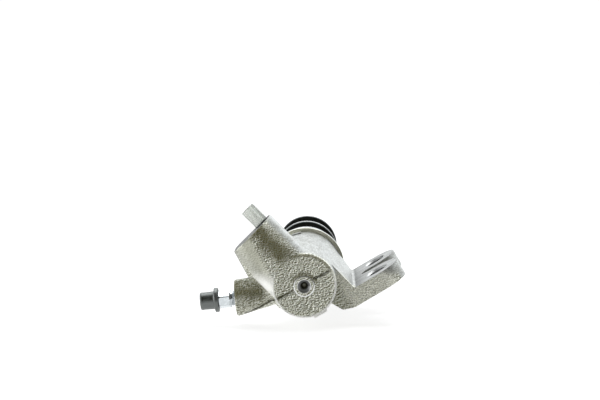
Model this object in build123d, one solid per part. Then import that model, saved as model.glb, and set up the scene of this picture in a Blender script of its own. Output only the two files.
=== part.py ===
from build123d import *
import math
import os

# Clutch slave cylinder with a side mounting bracket, millimetres.
# Built round the bore axis: +Y runs from the closed end to the open end, +Z is up.
# The finished pieces are moved so that the top of the front ear's bore is the origin.

# cast barrel
barrel_front_r = 16.2
barrel_rear_r = 19.1
barrel_len = 64.0
end_edge_r = 0.8
lip_r = 20.4
lip_len = 3.5
groove_r = 17.2
groove_len = 3.6
mouth_r = 18.4
mouth_len = 2.9
mouth_chamfer = 0.8

# bore and its machining
bore_d = 22.2
bore_floor = 6.5
bore_floor_cone = 1.5
ring_groove_depth = 1.0
ring_groove_from_mouth = 4.0
mouth_relief = 0.8
centre_face_r = 5.4
centre_face_depth = 0.35
centre_cone_r = 3.2
centre_hole_r = 1.8
centre_hole_depth = 3.4
centre_tip_angle = 118.0

# hose port boss, square to the bore and up to the left
port_lean = 45.0
port_face_at = 36.8
port_left = 13.4
port_left_root = 17.6
port_draft_from = 22.6
port_right = 11.6
port_depth = 22.0
port_left_round = 7.0
port_right_round = 9.5
port_back_round = 5.0
port_edge_round = 0.6
port_offset = 6.2
port_hole_d = 8.8
port_mouth_chamfer = 0.3
port_thread_len = 15.0
port_feed_d = 3.0

# bleed boss, to the left and slightly down
bleed_lean = 5.8
bleed_draft_lean = 14.0
bleed_face_x = -34.9
bleed_face_z = -8.1
bleed_y = 11.0
bleed_face_r = 9.35
bleed_root_r = 7.6
bleed_boss_len = 22.0
bleed_edge_round = 0.9
bleed_thread_d = 7.8
bleed_thread_len = 11.0
bleed_feed_d = 2.4

# marks of the mould: the lower half stands proud, a flat on the rim, a pad on the barrel
step_height = 0.25
step_r = 15.7
rim_flat_turn = -60.0
rim_flat_width = 7.0
rim_flat_r = 16.9
rim_flat_from = 0.8
rim_flat_len = 5.0
mark_turn = 104.6
mark_width = 5.0
mark_len = 3.0
mark_at = 58.5
mark_height = 0.45
mark_sink = 4.0

# mounting bracket
plate_lean = 31.0
plate_top = -15.2
plate_thick = 8.8
ear_reach = 34.0
ear_r = 12.1
ear_hole_d = 10.4
ear_first_y = 22.0
ear_spacing = 31.0
ear_hole_chamfer = 0.9
ear_gap_root = 25.5
web_corner_along = 20.4
web_overlap = 3.2
web_low_x = 19.8
web_low_z = -13.9
web_low_round = 3.0
web_corner_round = 1.6
web_under_x = 11.5
web_under_z = -9.3

# bleed screw and its cap
bleed_thread_show = 2.4
hex_across = 8.1
hex_len = 5.6
hex_turn = 24.0
hex_chamfer = 0.5
nipple_neck_d = 4.6
nipple_head_d = 6.2
nipple_len = 8.6
screw_bore_d = 2.0
screw_cross_d = 1.8
cap_body_d = 9.1
cap_body_len = 7.3
cap_flange_d = 12.5
cap_flange_len = 2.7
cap_wall_end = 1.4
cap_round = 1.1

# transit plug
plug_grip_d = 7.7
plug_grip_len = 10.5
plug_stem_len = 9.0
plug_wall = 1.35
plug_hollow_len = 13.0
plug_round = 0.35

# piston, seals and spring
piston_len = 25.0
piston_land = 4.0
piston_waist_d = 17.0
piston_chamfer = 0.5
piston_relief = 0.6
socket_depth = 4.5
socket_flare = 1.5
rear_seal_len = 4.2
rear_groove_from_front = 9.0
cup_len = 6.2
cup_base = 2.6
cup_wall = 2.4
seat_thick = 0.9
seat_d = 14.0
seat_dish_d = 8.0
seat_dish_len = 3.0
spring_wire_d = 1.3
spring_big_d = 19.4
spring_small_d = 11.2
spring_turns = 5.0

# retaining ring
ring_wire_d = 2.0
ring_gap = 40.0

# push rod
rod_d = 9.0
rod_ball_d = 12.4
rod_neck_d = 7.6
rod_groove_d = 7.0
rod_groove_len = 3.4
rod_tip_past_boot = 12.0
rod_tip_round = 3.6

# dust boot
boot_wall = 1.3
boot_folds = 3
boot_first_crest_r = 18.0
boot_last_crest_r = 17.8
boot_collar_valley_r = 13.2
boot_first_valley_r = 10.6
boot_last_valley_r = 10.0
boot_first_crest_at = 24.5
boot_pitch = 27.0
boot_crest_width = 4.0
boot_collar_past = 2.0
boot_neck_len = 6.0
boot_neck_r = 7.8

# fits, as radial or end clearances
piston_fit = 0.05
seal_fit = 0.06
thread_fit = 0.05
plug_fit = 0.08
groove_fit = 0.04
boot_fit = 0.05
neck_fit = 0.15
rod_fit = 0.15
end_fit = 0.1
cut_past = 1.0

# places along the bore axis
lip_end = barrel_len + lip_len
groove_end = lip_end + groove_len
mouth_end = groove_end + mouth_len
ring_y = mouth_end - ring_groove_from_mouth
piston_rear = ring_y - ring_wire_d / 2 - end_fit
piston_front = piston_rear - piston_len
rod_ball_y = piston_rear - socket_depth
seat_rear = piston_front - end_fit - cup_base - end_fit
last_crest_y = lip_end + boot_first_crest_at + boot_pitch * (boot_folds - 1)
neck_start = last_crest_y + boot_pitch / 2
rod_end = neck_start + boot_neck_len + rod_tip_past_boot
bore_r = bore_d / 2

# directions in the front view
port_out = Vector(-math.sin(math.radians(port_lean)), 0, math.cos(math.radians(port_lean)))
port_side = Vector(math.cos(math.radians(port_lean)), 0, math.sin(math.radians(port_lean)))
bleed_out = Vector(-math.cos(math.radians(bleed_lean)), 0, -math.sin(math.radians(bleed_lean)))
bleed_draft = bleed_out.rotate(Axis.Y, -(bleed_draft_lean - bleed_lean))
plate_along = Vector(math.cos(math.radians(plate_lean)), 0, math.sin(math.radians(plate_lean)))
plate_up = Vector(-math.sin(math.radians(plate_lean)), 0, math.cos(math.radians(plate_lean)))

bleed_face = Vector(bleed_face_x, bleed_y, bleed_face_z)
port_y = port_depth / 2
port_foot = port_side * port_offset + Vector(0, port_y, 0)
front_ear = plate_along * ear_reach + plate_up * plate_top + Vector(0, ear_first_y, 0)
part_origin = front_ear - plate_up * ear_hole_chamfer


def revolve_y(points):
    """A solid turned round the bore axis from (radius, y) points."""
    outline = [(r, y) for r, y in points]
    face = make_face(Polyline(*outline, close=True))
    return revolve(face, Axis.Y)


def rod_along(start, direction, radius, length):
    """A plain cylinder from a point along a direction."""
    return extrude(Plane(origin=start, z_dir=direction) * Circle(radius), length)


def plane_along(start, direction):
    """A plane at a point with its normal along a direction and its x along the bore axis."""
    return Plane(origin=start, x_dir=(0, 1, 0), z_dir=direction)


def turned(start, direction, points):
    """A solid turned round the line from a point along a direction, from (radius, along) points."""
    plane = Plane(origin=start, x_dir=(0, 1, 0), z_dir=direction)
    face = make_face(Polyline(*[(r, 0, a) for r, a in points], close=True))
    return plane.location * revolve(face, Axis.Z)


def barrel():
    """The tapered casting from the closed end to the boot groove and mouth."""
    body = revolve_y(
        [
            (0, 0),
            (barrel_front_r, 0),
            (barrel_rear_r, barrel_len),
            (lip_r, barrel_len),
            (lip_r, lip_end),
            (groove_r, lip_end),
            (groove_r, groove_end),
            (mouth_r, groove_end),
            (mouth_r, mouth_end - mouth_chamfer),
            (mouth_r - mouth_chamfer, mouth_end),
            (0, mouth_end),
        ]
    )
    front_edge = body.edges().filter_by(GeomType.CIRCLE).sort_by(Axis.Y)[0]
    return fillet(front_edge, end_edge_r)


def port_boss():
    """The hose boss: square to the bore, flush with the closed end, wider at its root."""
    outline = [
        port_side * port_right,
        port_side * port_right + port_out * port_face_at,
        port_side * -port_left + port_out * port_face_at,
        port_side * -port_left_root + port_out * port_draft_from,
        port_side * -port_left_root,
    ]
    face = make_face(Polyline(*outline, close=True))
    boss = extrude(face, port_depth, dir=(0, 1, 0))
    boss = fillet(side_edges(boss, 0, port_side), port_right_round)
    boss = fillet(side_edges(boss, 0, port_side * -1), port_left_round)
    for side in (port_side, port_side * -1):
        boss = fillet(side_edges(boss, port_depth, side), port_back_round)
    rim = boss.faces().sort_by(lambda f: f.center().dot(port_out))[-1].edges()
    return fillet(rim, port_edge_round)


def side_edges(boss, y, side):
    """The port boss's edges along one of its sides, at one depth."""
    inner = port_right - port_edge_round
    flat = [e for e in boss.edges() if abs(e.center().Y - y) < end_fit]
    return ShapeList([e for e in flat if e.center().dot(side) > inner])


def bleed_boss():
    """The bleed boss: its drafted sides narrow towards the barrel, its face is square to the screw."""
    root = bleed_face - bleed_draft * bleed_boss_len
    outer = plane_along(bleed_face, bleed_out) * Circle(bleed_face_r)
    inner = plane_along(root, bleed_draft) * Circle(bleed_root_r)
    boss = loft([inner, outer])
    rim = boss.edges().sort_by(lambda e: e.center().dot(bleed_out))[-1]
    return fillet(rim, bleed_edge_round)


def web_outline(barrel_r, y):
    """The bracket's root in the front view, with its top side tangent to the barrel."""
    corner = plate_along * web_corner_along + plate_up * plate_top
    corner_far = math.hypot(corner.X, corner.Z)
    tangent = math.atan2(corner.Z, corner.X) + math.acos(barrel_r / corner_far)
    inner = web_corner_along + web_overlap
    points = [
        Vector(0, 0, 0),
        Vector(web_under_x, 0, web_under_z),
        Vector(web_low_x, 0, web_low_z),
        plate_along * (web_corner_along - plate_thick / 2) + plate_up * (plate_top - plate_thick),
        plate_along * inner + plate_up * (plate_top - plate_thick),
        plate_along * inner + plate_up * plate_top,
        corner,
        Vector(barrel_r * math.cos(tangent), 0, barrel_r * math.sin(tangent)),
    ]
    face = make_face(Polyline(*points, close=True)).face()
    face = rounded(face, points[2], web_low_round)
    face = rounded(face, corner, web_corner_round)
    return Pos(0, y, 0) * face


def rounded(face, corner, radius):
    """A flat face with the corner nearest to a point rounded."""
    return face.fillet_2d(radius, [face.vertices().sort_by_distance(corner)[0]])


def bracket():
    """The leaning plate with two round ears, its web and the chamfered bolt holes."""
    y_from = ear_first_y - ear_r
    y_to = ear_first_y + ear_spacing + ear_r
    y_mid = ear_first_y + ear_spacing / 2
    taper = (barrel_rear_r - barrel_front_r) / barrel_len
    front = web_outline(barrel_front_r + taper * y_from - end_fit, y_from)
    rear = web_outline(barrel_front_r + taper * y_to - end_fit, y_to)
    base = Plane(origin=plate_up * (plate_top - plate_thick), x_dir=plate_along, z_dir=plate_up)
    shank = ear_reach - web_corner_along
    gap = ear_spacing - 2 * ear_r
    bridge = ear_gap_root - web_corner_along + gap / 2
    ears = Pos(web_corner_along + bridge / 2, y_mid) * Rectangle(bridge, ear_spacing)
    for k in range(2):
        y = ear_first_y + ear_spacing * k
        ears += Pos(ear_reach, y) * Circle(ear_r)
        ears += Pos(web_corner_along + shank / 2, y) * Rectangle(shank, 2 * ear_r)
    ears -= Pos(ear_gap_root + gap / 2, y_mid) * Circle(gap / 2)
    part = loft([front, rear], ruled=True) + extrude(base * ears, plate_thick)
    for k in range(2):
        part -= ear_hole(front_ear + Vector(0, ear_spacing * k, 0))
    return part


def ear_hole(seat):
    """A bolt hole through the plate, with a chamfer at its seat."""
    hole_r = ear_hole_d / 2
    return turned(
        seat,
        plate_up * -1,
        [
            (0, -cut_past),
            (hole_r + ear_hole_chamfer + cut_past, -cut_past),
            (hole_r, ear_hole_chamfer),
            (hole_r, plate_thick + cut_past),
            (0, plate_thick + cut_past),
        ],
    )


def mould_marks():
    """The raised lower half of the closed end, the flat on its rim and the small pad on the barrel."""
    below = Plane(origin=(0, 0, 0), x_dir=plate_along, z_dir=(0, 1, 0))
    disc = extrude(Plane(origin=(0, 0, 0), z_dir=(0, -1, 0)) * Circle(step_r), step_height)
    disc += extrude(Plane(origin=(0, 0, 0), z_dir=(0, 1, 0)) * Circle(step_r), end_edge_r)
    half = extrude(below * Pos(0, step_r) * Rectangle(4 * step_r, 2 * step_r), step_r, both=True)
    flat_inner = rim_flat_r / 2
    flat = radial_block(rim_flat_turn, rim_flat_width, rim_flat_from, rim_flat_len, flat_inner, rim_flat_r)
    taper = (barrel_rear_r - barrel_front_r) / barrel_len
    top = barrel_front_r + taper * (mark_at + mark_len) + mark_height
    mark = radial_block(mark_turn, mark_width, mark_at, mark_len, top - mark_sink, top)
    return (disc & half) + flat + mark


def radial_block(turn, width, start, length, from_r, to_r):
    """A block standing out from the bore axis at a turn in the front view."""
    out = Vector(math.cos(math.radians(turn)), 0, math.sin(math.radians(turn)))
    base = Plane(origin=out * from_r + Vector(0, start + length / 2, 0), x_dir=(0, 1, 0), z_dir=out)
    block = extrude(base * Rectangle(length, width), to_r - from_r)
    rim = block.faces().sort_by(lambda f: f.center().dot(out))[-1].edges()
    return fillet(rim, end_fit * 2)


def body():
    """The whole casting with its drillings."""
    part = barrel() + bracket() + port_boss() + bleed_boss() + mould_marks()
    return part - bore_cut() - centre_cut() - port_cut() - bleed_cut()


def bore_cut():
    """The blind bore with a coned floor, the ring's groove and a relieved mouth."""
    groove_half = ring_wire_d / 2 + groove_fit
    deep = bore_r + ring_groove_depth
    return revolve_y(
        [
            (0, bore_floor - bore_floor_cone),
            (bore_r, bore_floor),
            (bore_r, ring_y - groove_half),
            (deep, ring_y - groove_half),
            (deep, ring_y + groove_half),
            (bore_r, ring_y + groove_half),
            (bore_r, mouth_end - mouth_relief),
            (bore_r + mouth_relief, mouth_end),
            (bore_r + mouth_relief, mouth_end + cut_past),
            (0, mouth_end + cut_past),
        ]
    )


def centre_cut():
    """The turning centre in the closed end: a faced ring, a cone and a drilled hole."""
    tip = centre_hole_r / math.tan(math.radians(centre_tip_angle / 2))
    cone = centre_face_depth + centre_cone_r - centre_hole_r
    return revolve_y(
        [
            (0, -cut_past),
            (centre_face_r, -cut_past),
            (centre_face_r, centre_face_depth),
            (centre_cone_r, centre_face_depth),
            (centre_hole_r, cone),
            (centre_hole_r, centre_hole_depth),
            (0, centre_hole_depth + tip),
        ]
    )


def port_cut():
    """The tapped port with its mouth chamfer and the feed hole into the bore."""
    mouth = port_foot + port_out * (port_face_at + cut_past)
    hole_r = port_hole_d / 2
    thread_end = cut_past + port_thread_len
    return turned(
        mouth,
        port_out * -1,
        [
            (0, 0),
            (hole_r + port_mouth_chamfer, 0),
            (hole_r + port_mouth_chamfer, cut_past),
            (hole_r, cut_past + port_mouth_chamfer),
            (hole_r, thread_end),
            (port_feed_d / 2, thread_end + hole_r - port_feed_d / 2),
            (port_feed_d / 2, port_face_at - bore_r / 2),
            (0, port_face_at - bore_r / 2),
        ],
    )


def bleed_cut():
    """The tapped bleed hole, its coned seat and the feed hole into the bore."""
    mouth = bleed_face + bleed_out * cut_past
    hole_r = bleed_thread_d / 2 + thread_fit
    seat_r = bleed_feed_d / 2
    cone = hole_r - seat_r
    return turned(
        mouth,
        bleed_out * -1,
        [
            (0, 0),
            (hole_r, 0),
            (hole_r, cut_past + bleed_thread_len),
            (seat_r, cut_past + bleed_thread_len + cone),
            (seat_r, -bleed_face_x - bore_r / 2),
            (0, -bleed_face_x - bore_r / 2),
        ],
    )


def bleed_screw():
    """The bleed screw: coned point, plain shank for the thread, hexagon and hose nipple."""
    shank_r = bleed_thread_d / 2
    tip_r = bleed_feed_d / 2 + end_fit
    cone = shank_r - tip_r
    point = -bleed_thread_len + end_fit - cone
    hex_end = bleed_thread_show + hex_len
    shank = turned(
        bleed_face,
        bleed_out,
        [
            (0, point),
            (tip_r, point),
            (shank_r, point + cone),
            (shank_r, bleed_thread_show),
            (0, bleed_thread_show),
        ],
    )
    hex_plane = plane_along(bleed_face + bleed_out * bleed_thread_show, bleed_out)
    hexagon = RegularPolygon(hex_across / 2, 6, major_radius=False, rotation=hex_turn)
    flats = extrude(hex_plane * hexagon, hex_len)
    corner_r = hex_across / math.sqrt(3)
    dome = turned(
        bleed_face,
        bleed_out,
        [
            (0, bleed_thread_show),
            (corner_r - hex_chamfer, bleed_thread_show),
            (corner_r, bleed_thread_show + hex_chamfer / 2),
            (corner_r, hex_end - hex_chamfer / 2),
            (corner_r - hex_chamfer, hex_end),
            (0, hex_end),
        ],
    )
    neck_r = nipple_neck_d / 2
    head_r = nipple_head_d / 2
    nipple = turned(
        bleed_face,
        bleed_out,
        [
            (0, hex_end),
            (neck_r, hex_end),
            (neck_r, hex_end + nipple_len / 2),
            (head_r, hex_end + nipple_len / 2 + head_r - neck_r),
            (neck_r, hex_end + nipple_len),
            (0, hex_end + nipple_len),
        ],
    )
    screw = shank + (flats & dome) + nipple
    cross_at = point + cone + screw_cross_d * 2
    bore_foot = bleed_face + bleed_out * cross_at
    drilling = rod_along(bore_foot, bleed_out, screw_bore_d / 2, hex_end + nipple_len)
    cross_from = bleed_face + bleed_out * cross_at - Vector(0, shank_r * 2, 0)
    cross = rod_along(cross_from, Vector(0, 1, 0), screw_cross_d / 2, shank_r * 4)
    return screw - drilling - cross


def bleed_cap():
    """The rubber cap, moulded to the nipple, with a flange against the hexagon."""
    start = bleed_thread_show + hex_len + end_fit
    neck_r = nipple_neck_d / 2 + neck_fit
    head_r = nipple_head_d / 2 + neck_fit
    head_at = bleed_thread_show + hex_len + nipple_len / 2 + (nipple_head_d - nipple_neck_d) / 2
    end = start + cap_flange_len + cap_body_len
    body_r = cap_body_d / 2
    cap = turned(
        bleed_face,
        bleed_out,
        [
            (0, start),
            (cap_flange_d / 2, start),
            (cap_flange_d / 2, start + cap_flange_len),
            (body_r, start + cap_flange_len),
            (body_r, end),
            (0, end),
        ],
    )
    far_rim = cap.edges().filter_by(GeomType.CIRCLE).sort_by(lambda e: e.center().dot(bleed_out))[-1]
    cap = fillet(far_rim, cap_round)
    mouth = start - cut_past
    inside = rod_along(bleed_face + bleed_out * mouth, bleed_out, head_r, end - cap_wall_end - mouth)
    return cap - inside


def transit_plug():
    """The hollow moulded plug pushed into the hose port."""
    grip_r = plug_grip_d / 2
    stem_r = port_hole_d / 2 - plug_fit
    chamfer = plug_round * 2
    shape = turned(
        port_foot + port_out * port_face_at,
        port_out,
        [
            (0, -plug_stem_len),
            (grip_r - chamfer, -plug_stem_len),
            (stem_r, -plug_stem_len + chamfer * 2),
            (stem_r, -port_mouth_chamfer),
            (grip_r, 0),
            (grip_r, plug_grip_len - plug_round),
            (grip_r - plug_round, plug_grip_len),
            (grip_r - plug_wall, plug_grip_len),
            (grip_r - plug_wall, plug_grip_len - plug_hollow_len),
            (0, plug_grip_len - plug_hollow_len),
        ],
    )
    return shape


def piston():
    """The piston: front land, relief groove, seal groove and the push rod's round socket."""
    r = bore_r - piston_fit
    waist_r = piston_waist_d / 2
    relief_from = piston_front + piston_land
    groove_from = piston_front + rear_groove_from_front
    groove_to = groove_from + rear_seal_len + 2 * end_fit
    shape = revolve_y(
        [
            (0, piston_front),
            (r - piston_chamfer, piston_front),
            (r, piston_front + piston_chamfer),
            (r, relief_from),
            (r - piston_relief, relief_from),
            (r - piston_relief, groove_from - piston_land / 2),
            (r, groove_from - piston_land / 2),
            (r, groove_from),
            (waist_r, groove_from),
            (waist_r, groove_to),
            (r, groove_to),
            (r, piston_rear - piston_chamfer),
            (r - piston_chamfer, piston_rear),
            (0, piston_rear),
        ]
    )
    ball_r = rod_ball_d / 2 + rod_fit
    flare = [(0, rod_ball_y), (ball_r, rod_ball_y), (ball_r + socket_flare, piston_rear), (0, piston_rear)]
    return shape - Pos(0, rod_ball_y, 0) * Sphere(ball_r) - revolve_y(flare)


def primary_cup():
    """The pressure cup in front of the piston, its lip towards the closed end."""
    r = bore_r - seal_fit
    rear = piston_front - end_fit
    return revolve_y(
        [
            (0, rear),
            (r, rear),
            (r, rear - cup_len),
            (r - cup_wall / 3, rear - cup_len),
            (r - cup_wall, rear - cup_base),
            (0, rear - cup_base),
        ]
    )


def rear_seal():
    """The second cup, held in the piston's groove."""
    r = bore_r - seal_fit
    inner = piston_waist_d / 2 + seal_fit
    start = piston_front + rear_groove_from_front + end_fit
    return revolve_y(
        [
            (inner, start),
            (r, start),
            (r, start + rear_seal_len / 2),
            (inner + cup_wall / 2, start + rear_seal_len),
            (inner, start + rear_seal_len),
        ]
    )


def spring_seat():
    """The pressed seat that spreads the spring's push over the cup."""
    rear = seat_rear
    dish_r = seat_dish_d / 2
    return revolve_y(
        [
            (0, rear),
            (seat_d / 2, rear),
            (seat_d / 2, rear - seat_thick),
            (dish_r, rear - seat_thick),
            (dish_r - seat_thick, rear - seat_thick - seat_dish_len),
            (0, rear - seat_thick - seat_dish_len),
        ]
    )


def return_spring():
    """The conical spring from the bore's floor to the seat."""
    wire_r = spring_wire_d / 2
    start = bore_floor + wire_r + end_fit
    end = seat_rear - seat_thick - wire_r - end_fit
    big = spring_big_d / 2
    small = spring_small_d / 2
    length = end - start
    cone = math.degrees(math.atan((small - big) / length))
    path = Helix(pitch=length / spring_turns, height=length, radius=big, cone_angle=cone)
    profile = Plane(origin=path @ 0, z_dir=path % 0) * Circle(wire_r)
    coil = sweep(profile, path=path)
    return Pos(0, start, 0) * Rot(-90, 0, 0) * coil


def retaining_ring():
    """The round wire ring that stops the piston, open at the bottom for fitting."""
    ring_r = bore_r + ring_groove_depth - ring_wire_d / 2 - groove_fit
    path_plane = Plane(origin=(0, ring_y, 0), x_dir=(1, 0, 0), z_dir=(0, 1, 0))
    start = 90 + ring_gap / 2
    arc = path_plane * CenterArc((0, 0), ring_r, start, 360 - ring_gap)
    profile = Plane(origin=arc @ 0, z_dir=arc % 0) * Circle(ring_wire_d / 2)
    return sweep(profile, path=arc)


def push_rod():
    """The push rod: ball in the piston's socket, boot groove, rounded tip for the release fork."""
    ball_r = rod_ball_d / 2
    rod_r = rod_d / 2
    neck_r = rod_neck_d / 2
    groove_from = neck_start + (boot_neck_len - rod_groove_len) / 2
    shaft = revolve_y(
        [
            (0, rod_ball_y),
            (neck_r, rod_ball_y),
            (neck_r, mouth_end),
            (rod_r, mouth_end + rod_r),
            (rod_r, groove_from),
            (rod_groove_d / 2, groove_from),
            (rod_groove_d / 2, groove_from + rod_groove_len),
            (rod_r, groove_from + rod_groove_len),
            (rod_r, rod_end),
            (0, rod_end),
        ]
    )
    tip = shaft.edges().filter_by(GeomType.CIRCLE).sort_by(Axis.Y)[-1]
    shaft = fillet(tip, rod_tip_round)
    return shaft + Pos(0, rod_ball_y, 0) * Sphere(ball_r)


def hollow(start, end, rim_r, floor_r, wall):
    """A round hollow between two crests as three points of its arc, moved inwards by a wall."""
    half = (end - start) / 2
    deep = rim_r - floor_r
    radius = (half**2 + deep**2) / (2 * deep) + wall
    centre_r = floor_r + radius - wall
    middle = start + half
    reach = math.sqrt(radius**2 - (centre_r - rim_r + wall) ** 2)
    return [(rim_r - wall, middle - reach), (floor_r - wall, middle), (rim_r - wall, middle + reach)]


def last_hollow(start, end, rim_r, floor_r, wall):
    """Half a hollow, from the last crest down to the neck, as three points of its arc."""
    first, floor, _ = hollow(start, 2 * end - start, rim_r, floor_r, wall)
    half = floor[1] - first[1]
    deep = first[0] - floor[0]
    radius = (half**2 + deep**2) / (2 * deep)
    between = floor[0] + radius - math.sqrt(radius**2 - (half / 2) ** 2)
    return [first, (between, floor[1] - half / 2), floor]


def boot_folds_line(wall):
    """The arcs of the boot's hollows from the collar to the neck, moved inwards by a wall."""
    half = boot_crest_width / 2
    first_crest_y = lip_end + boot_first_crest_at
    first_hollow = mouth_end + boot_collar_past + boot_wall
    arcs = [hollow(first_hollow, first_crest_y - half, boot_first_crest_r, boot_collar_valley_r, wall)]
    for k in range(boot_folds - 1):
        share = k / (boot_folds - 1)
        crest_r = boot_first_crest_r + (boot_last_crest_r - boot_first_crest_r) * share
        valley_r = boot_first_valley_r + (boot_last_valley_r - boot_first_valley_r) * share
        start = first_crest_y + boot_pitch * k + half
        arcs.append(hollow(start, start + boot_pitch - boot_crest_width, crest_r, valley_r, wall))
    arcs.append(last_hollow(last_crest_y + half, neck_start, boot_last_crest_r, boot_neck_r, wall))
    return arcs


def face_from(parts):
    """A face from points and three-point arcs in order, joined by straight lines."""
    edges = []
    last = parts[-1][-1]
    for part in parts:
        if math.dist(last, part[0]) > 0:
            edges.append(Line(last, part[0]))
        if len(part) > 1:
            edges.append(ThreePointArc(*part))
        last = part[-1]
    return make_face(edges)


def dust_boot():
    """The rubber bellows from the barrel's groove to the push rod's groove."""
    bead_r = groove_r + boot_fit
    bead_from = lip_end + boot_fit
    bead_to = groove_end - boot_fit
    over_r = mouth_r + boot_fit
    collar_r = mouth_r + boot_wall
    collar_end = mouth_end + boot_collar_past
    neck_end = neck_start + boot_neck_len
    neck_inner = rod_groove_d / 2 + neck_fit
    rod_clear = rod_d / 2 + neck_fit
    groove_from = neck_start + (boot_neck_len - rod_groove_len) / 2 + end_fit
    groove_to = groove_from + rod_groove_len - 2 * end_fit
    outer = [[(collar_r, bead_from)], [(collar_r, collar_end)]]
    outer += boot_folds_line(0)
    outer += [[(boot_neck_r, neck_end)]]
    inner = [[(over_r, bead_to)], [(over_r, collar_end)]]
    inner += boot_folds_line(boot_wall)
    inner += [[(rod_clear, neck_start + boot_wall)], [(rod_clear, groove_from)]]
    inner += [[(neck_inner, groove_from)], [(neck_inner, groove_to)]]
    inner += [[(rod_clear, groove_to)], [(rod_clear, neck_end)]]
    inner = [[(bead_r, bead_from)], [(bead_r, bead_to)]] + inner
    back = [list(reversed(part)) for part in reversed(inner)]
    return revolve(face_from(outer + back), Axis.Y)


def save(shape, name):
    """Move a piece to the part's origin and write it."""
    moved = Pos(-part_origin.X, -part_origin.Y, -part_origin.Z) * shape
    export_step(moved, "parts/" + name + ".step")


os.makedirs("parts", exist_ok=True)
save(body(), "cylinder_body")
save(bleed_screw(), "bleed_screw")
save(bleed_cap(), "bleed_cap")
save(transit_plug(), "transit_plug")
save(return_spring(), "return_spring")
save(spring_seat(), "spring_seat")
save(primary_cup(), "primary_cup")
save(piston(), "piston")
save(rear_seal(), "rear_seal")
save(retaining_ring(), "retaining_ring")
save(push_rod(), "push_rod")
save(dust_boot(), "dust_boot")
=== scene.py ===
import math

import bpy
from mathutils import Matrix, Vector


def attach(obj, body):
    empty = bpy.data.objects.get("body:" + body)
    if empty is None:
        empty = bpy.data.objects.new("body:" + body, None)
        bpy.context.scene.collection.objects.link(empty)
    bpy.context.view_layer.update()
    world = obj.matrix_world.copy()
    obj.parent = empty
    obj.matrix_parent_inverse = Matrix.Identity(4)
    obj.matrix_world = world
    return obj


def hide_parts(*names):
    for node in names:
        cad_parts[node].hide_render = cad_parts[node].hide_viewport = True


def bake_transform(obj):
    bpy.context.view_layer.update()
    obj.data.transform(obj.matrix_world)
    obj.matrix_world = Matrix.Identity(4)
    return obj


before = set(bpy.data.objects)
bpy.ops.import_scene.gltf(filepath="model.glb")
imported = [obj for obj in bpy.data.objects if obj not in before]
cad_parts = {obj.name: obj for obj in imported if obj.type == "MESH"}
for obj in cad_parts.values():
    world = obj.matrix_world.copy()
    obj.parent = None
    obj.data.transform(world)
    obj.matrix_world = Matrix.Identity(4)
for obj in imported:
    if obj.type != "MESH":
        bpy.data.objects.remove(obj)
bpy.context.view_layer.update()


def colour(r, g, b):
    return (r, g, b, 1.0)


# Lengths below are millimetres, measured from the closed end of the bore, as in the solids.
MM = 0.001
TURN = 2 * math.pi
BORE_START = Vector((0, 0, 0))
BORE_WAY = Vector((0, 1, 0))
UP = Vector((0, 0, 1))
LEFT = Vector((-1, 0, 0))

# bracket and front ear, whose bore is the shared origin
PLATE_LEAN = math.radians(31.0)
PLATE_TOP = -15.2
EAR_REACH = 34.0
EAR_FIRST_Y = 22.0
EAR_SPACING = 31.0
EAR_HOLE_R = 5.2
EAR_CHAMFER = 0.9
WEB_CORNER = 20.4
PLATE_ALONG = Vector((math.cos(PLATE_LEAN), 0, math.sin(PLATE_LEAN)))
PLATE_UP = Vector((-math.sin(PLATE_LEAN), 0, math.cos(PLATE_LEAN)))
ORIGIN = PLATE_ALONG * EAR_REACH + PLATE_UP * (PLATE_TOP - EAR_CHAMFER) + BORE_WAY * EAR_FIRST_Y

# barrel, bore and mouth
BARREL_LEN = 64.0
LIP_END = 67.5
LIP_CORE_R = 19.0
LIP_BAND_R = 21.1
LIP_BAND_ROUND = 0.5
GROOVE_R = 17.2
GROOVE_END = 71.1
MOUTH_R = 18.4
MOUTH_END = 74.0
BORE_R = 11.1
BORE_FLOOR = 6.5
RING_GROOVE_R = 12.1

# closed end, its turning centre and the line where the mould's halves met
RIM_R = 15.2
RIM_HIGHLIGHT_SHARE = 0.85
CENTRE_CONE_R = 3.3
CENTRE_HOLE_R = 1.8
CENTRE_DEPTH = 6.0
CENTRE_FLOOR = 0.35
COLLAR_TOP = -0.45
COLLAR_TOP_R = 4.8
COLLAR_EDGE = -0.22
COLLAR_EDGE_R = 5.3
COLLAR_FOOT = 0.04
COLLAR_FOOT_R = 7.4
SEAM_LEAN = math.radians(29.0)
SEAM_OFF = 0.8
SEAM_ALONG = Vector((math.cos(SEAM_LEAN), 0, math.sin(SEAM_LEAN)))
SEAM_UP = Vector((-math.sin(SEAM_LEAN), 0, math.cos(SEAM_LEAN)))

# hose port
PORT_LEAN = math.radians(45.0)
PORT_OUT = Vector((-math.sin(PORT_LEAN), 0, math.cos(PORT_LEAN)))
PORT_SIDE = Vector((math.cos(PORT_LEAN), 0, math.sin(PORT_LEAN)))
PORT_FACE_AT = 36.8
PORT_OFFSET = 6.2
PORT_Y = 11.0
PORT_HOLE_R = 4.4

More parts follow.
